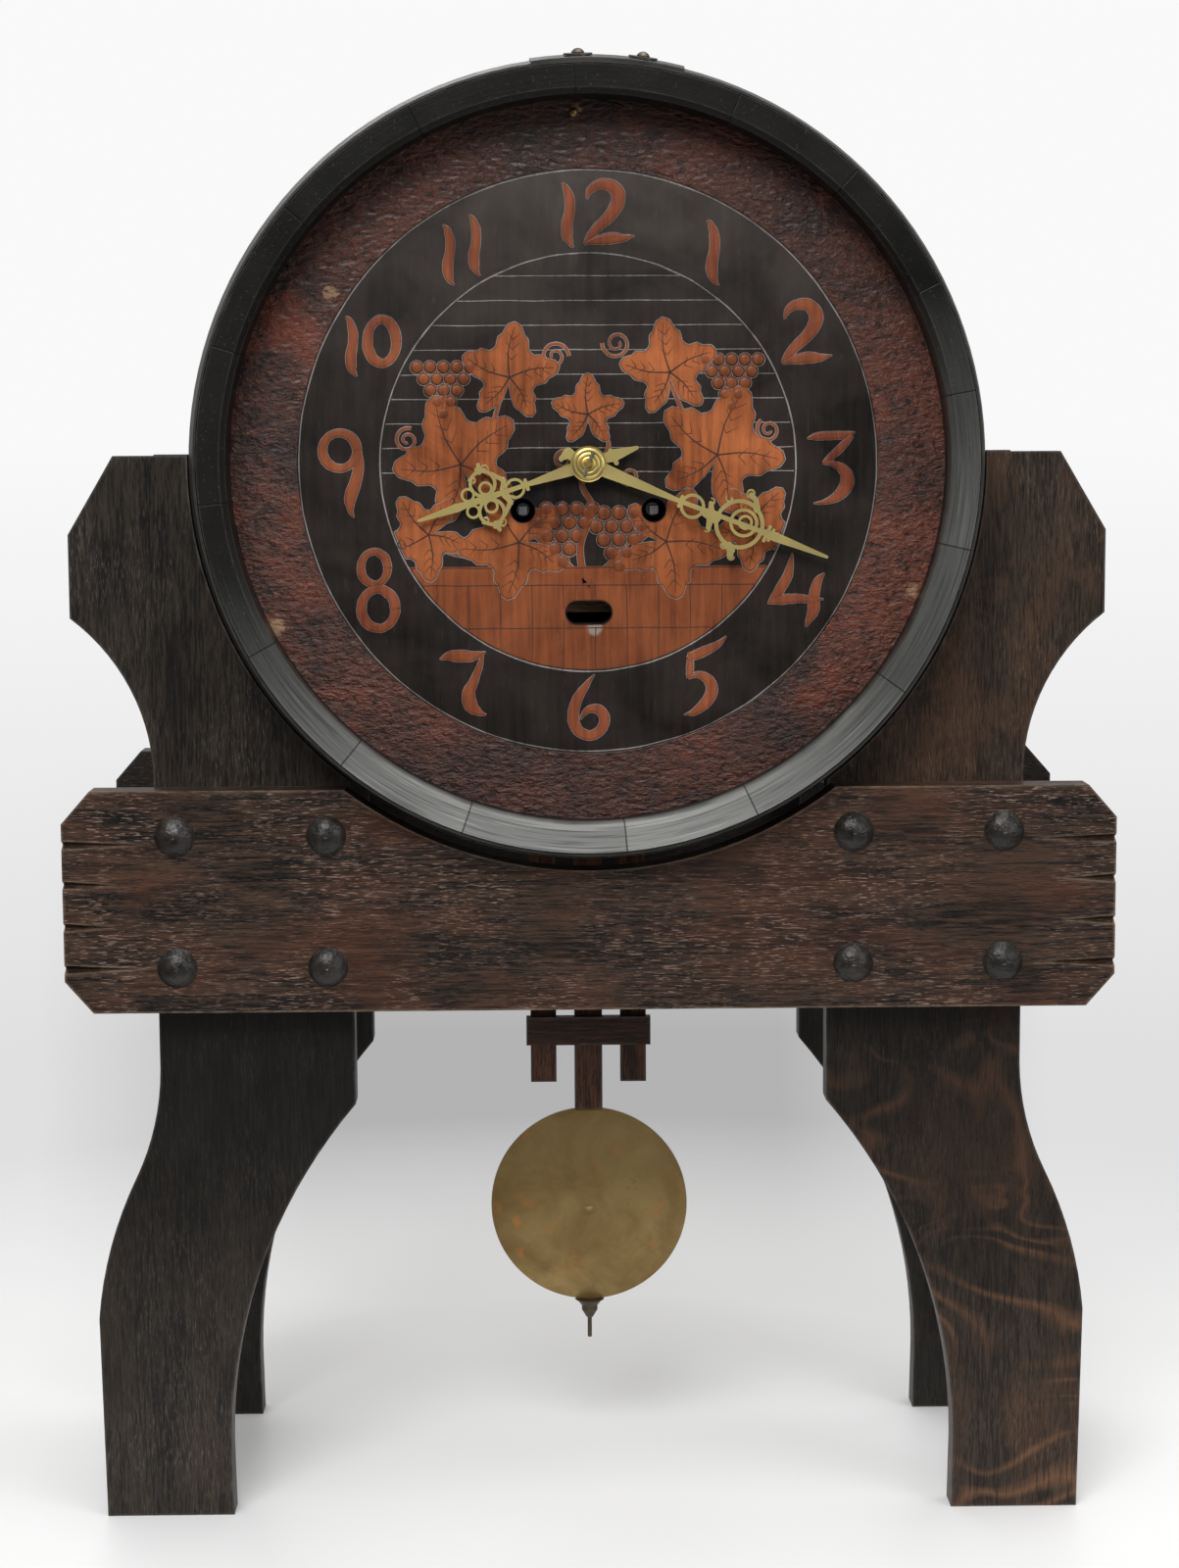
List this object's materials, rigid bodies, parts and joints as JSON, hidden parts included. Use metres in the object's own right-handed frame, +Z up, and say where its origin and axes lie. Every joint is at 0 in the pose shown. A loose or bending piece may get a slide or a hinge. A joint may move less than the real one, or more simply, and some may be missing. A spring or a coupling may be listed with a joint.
{
  "type": "barrel clock on a trestle stand",
  "caption": "Keg-shaped table clock on an oak trestle: dial in the barrel head, pierced hands, spring-driven striking works and a pendulum hanging below.",
  "frame": {"origin": "centre of the footprint on the surface the clock stands on", "axes": "+X to the right for whoever reads the dial, +Y away from the reader along the barrel's axis, +Z up"},
  "size_m": [0.52, 0.247, 0.7347],
  "materials": {
    "stand_oak": "fumed oak, dark stain, satin wax",
    "board_oak": "fumed oak with lighter pores, satin wax",
    "stave_oak": "dark grey-brown stained staves, satin",
    "hoop_iron": "dark iron band, satin black",
    "nail_iron": "black wrought nail, semi-gloss",
    "rivet_steel": "dull steel",
    "dial_wood": "stained and incised boards, brown-red and near black",
    "plain_oak": "oiled oak",
    "hardware_brass": "polished brass",
    "screw_brass": "dull brass",
    "hand_brass": "pale lacquered brass",
    "plate_brass": "brushed brass",
    "steel": "bright steel",
    "spring_steel": "blued spring steel",
    "pendulum_wood": "dark reddish hardwood, satin",
    "bob_brass": "aged brass with mottled patina"
  },
  "bodies": {
    "clock": {"front_left_leg": "stand_oak", "front_right_leg": "stand_oak", "rear_left_leg": "stand_oak", "rear_right_leg": "stand_oak", "front_board": "board_oak", "rear_board": "board_oak", "board_nails": "nail_iron", "barrel_staves": "stave_oak", "front_hoop": "hoop_iron", "rear_hoop": "hoop_iron", "quarter_hoops": "hoop_iron", "hoop_rivets": "rivet_steel", "front_head": "dial_wood", "rear_head": "plain_oak", "head_hinge_leaves": "hardware_brass", "head_cleats": "plain_oak", "screws_and_nuts": "screw_brass", "front_plate": "plate_brass", "back_plate": "plate_brass", "plate_pillars": "steel", "time_mainspring": "spring_steel", "strike_mainspring": "spring_steel", "suspension_cock": "plate_brass", "gong": "spring_steel", "gong_post": "hoop_iron"},
    "door": {"back_door": "plain_oak", "door_knob": "hardware_brass", "door_hinge_leaves": "hardware_brass", "door_screws": "screw_brass"},
    "minute": {"centre_wheel": "plate_brass", "cannon_pinion": "plate_brass", "minute_hand": "hand_brass", "hand_collet": "hand_brass", "taper_pin": "steel"},
    "minute_work": {"minute_wheel": "plate_brass"},
    "hour": {"hour_wheel": "plate_brass", "hour_hand": "hand_brass"},
    "time_great": {"time_great_wheel": "plate_brass"},
    "time_winding": {"time_winding_arbor": "steel"},
    "time_pawl": {"time_click": "steel"},
    "third": {"third_wheel": "plate_brass"},
    "escape": {"escape_wheel": "plate_brass"},
    "anchor_arbor": {"anchor": "steel"},
    "pendulum": {"suspension_spring": "spring_steel", "pendulum_stick": "pendulum_wood", "pendulum_side_strips": "pendulum_wood", "pendulum_crossbars": "pendulum_wood", "pendulum_rod": "steel", "pendulum_bob": "bob_brass", "bob_cup": "steel"},
    "nut": {"rating_nut": "hardware_brass"},
    "strike_great": {"strike_great_wheel": "plate_brass"},
    "strike_winding": {"strike_winding_arbor": "steel"},
    "strike_pawl": {"strike_click": "steel"},
    "pin": {"pin_wheel": "plate_brass"},
    "warning": {"warning_wheel": "plate_brass"},
    "fly_arbor": {"fly": "plate_brass"},
    "count": {"count_wheel": "plate_brass"},
    "lever": {"count_lever": "steel"},
    "hammer_arbor": {"hammer": "steel"}
  },
  "joints": [
    {"name": "minute_hand_turn", "type": "hinge", "parent": "clock", "child": "minute", "pos_m": [0, -0.1055, 0.5335], "axis": [0, 1, 0], "continuous": true},
    {"name": "minute_wheel_turn", "type": "hinge", "parent": "clock", "child": "minute_work", "pos_m": [-0.01018, -0.073, 0.54368], "axis": [0, 1, 0], "continuous": true},
    {"name": "hour_hand_turn", "type": "hinge", "parent": "clock", "child": "hour", "pos_m": [0, -0.102, 0.5335], "axis": [0, 1, 0], "continuous": true},
    {"name": "time_great_turn", "type": "hinge", "parent": "clock", "child": "time_great", "pos_m": [0.032, -0.061, 0.511], "axis": [0, 1, 0], "continuous": true},
    {"name": "time_winding_turn", "type": "hinge", "parent": "time_great", "child": "time_winding", "pos_m": [0.032, -0.059, 0.511], "axis": [0, 1, 0], "continuous": true},
    {"name": "time_click_lift", "type": "hinge", "parent": "time_great", "child": "time_pawl", "pos_m": [0.02516, -0.059, 0.49221], "axis": [0, 1, 0], "range_deg": [0, 12]},
    {"name": "third_wheel_turn", "type": "hinge", "parent": "clock", "child": "third", "pos_m": [0.01528, -0.065, 0.54933], "axis": [0, 1, 0], "continuous": true},
    {"name": "escape_wheel_turn", "type": "hinge", "parent": "clock", "child": "escape", "pos_m": [0, -0.032, 0.56223], "axis": [0, 1, 0], "continuous": true},
    {"name": "pendulum_swing", "type": "hinge", "parent": "clock", "child": "pendulum", "pos_m": [0, 0, 0.58063], "axis": [0, 1, 0], "range_deg": [-3, 3]},
    {"name": "anchor_rock", "type": "hinge", "parent": "clock", "child": "anchor_arbor", "pos_m": [0, -0.032, 0.58063], "axis": [0, 1, 0], "range_deg": [-3, 3]},
    {"name": "rating_nut_turn", "type": "hinge", "parent": "pendulum", "child": "nut", "pos_m": [0, 0, 0.08], "axis": [0, 0, 1], "continuous": true},
    {"name": "strike_pin_wheel_turn", "type": "hinge", "parent": "clock", "child": "pin", "pos_m": [-0.03405, -0.065, 0.55006], "axis": [0, 1, 0], "continuous": true},
    {"name": "strike_great_turn", "type": "hinge", "parent": "clock", "child": "strike_great", "pos_m": [-0.032, -0.035, 0.511], "axis": [0, 1, 0], "continuous": true},
    {"name": "strike_winding_turn", "type": "hinge", "parent": "strike_great", "child": "strike_winding", "pos_m": [-0.032, -0.037, 0.511], "axis": [0, 1, 0], "continuous": true},
    {"name": "strike_click_lift", "type": "hinge", "parent": "strike_great", "child": "strike_pawl", "pos_m": [-0.02516, -0.037, 0.49221], "axis": [0, 1, 0], "range_deg": [0, 12]},
    {"name": "warning_wheel_turn", "type": "hinge", "parent": "clock", "child": "warning", "pos_m": [-0.02887, -0.057, 0.56938], "axis": [0, 1, 0], "continuous": true},
    {"name": "fly_turn", "type": "hinge", "parent": "clock", "child": "fly_arbor", "pos_m": [-0.04446, -0.047, 0.57838], "axis": [0, 1, 0], "continuous": true},
    {"name": "count_wheel_turn", "type": "hinge", "parent": "clock", "child": "count", "pos_m": [-0.04174, -0.023, 0.52892], "axis": [0, 1, 0], "continuous": true},
    {"name": "count_lever_lift", "type": "hinge", "parent": "clock", "child": "lever", "pos_m": [-0.01635, -0.021, 0.5467], "axis": [0, 1, 0], "range_deg": [0, 8]},
    {"name": "hammer_lift", "type": "hinge", "parent": "clock", "child": "hammer_arbor", "pos_m": [-0.05605, -0.02, 0.55006], "axis": [0, 1, 0], "range_deg": [-10, 0]},
    {"name": "back_door_swing", "type": "hinge", "parent": "clock", "child": "door", "pos_m": [-0.07525, 0.10005, 0.5335], "axis": [0, 0, 1], "range_deg": [0, 110]}
  ],
  "couplings": [
    {"joint": "minute_wheel_turn", "follows": "minute_hand_turn", "ratio": -0.33333},
    {"joint": "hour_hand_turn", "follows": "minute_hand_turn", "ratio": 0.083333},
    {"joint": "time_great_turn", "follows": "minute_hand_turn", "ratio": -0.14286},
    {"joint": "third_wheel_turn", "follows": "minute_hand_turn", "ratio": -10},
    {"joint": "escape_wheel_turn", "follows": "minute_hand_turn", "ratio": 90},
    {"joint": "anchor_rock", "follows": "pendulum_swing", "ratio": 1},
    {"joint": "strike_great_turn", "follows": "strike_pin_wheel_turn", "ratio": -0.14286},
    {"joint": "warning_wheel_turn", "follows": "strike_pin_wheel_turn", "ratio": -9},
    {"joint": "fly_turn", "follows": "strike_pin_wheel_turn", "ratio": 72},
    {"joint": "count_wheel_turn", "follows": "strike_pin_wheel_turn", "ratio": -0.15385}
  ]
}
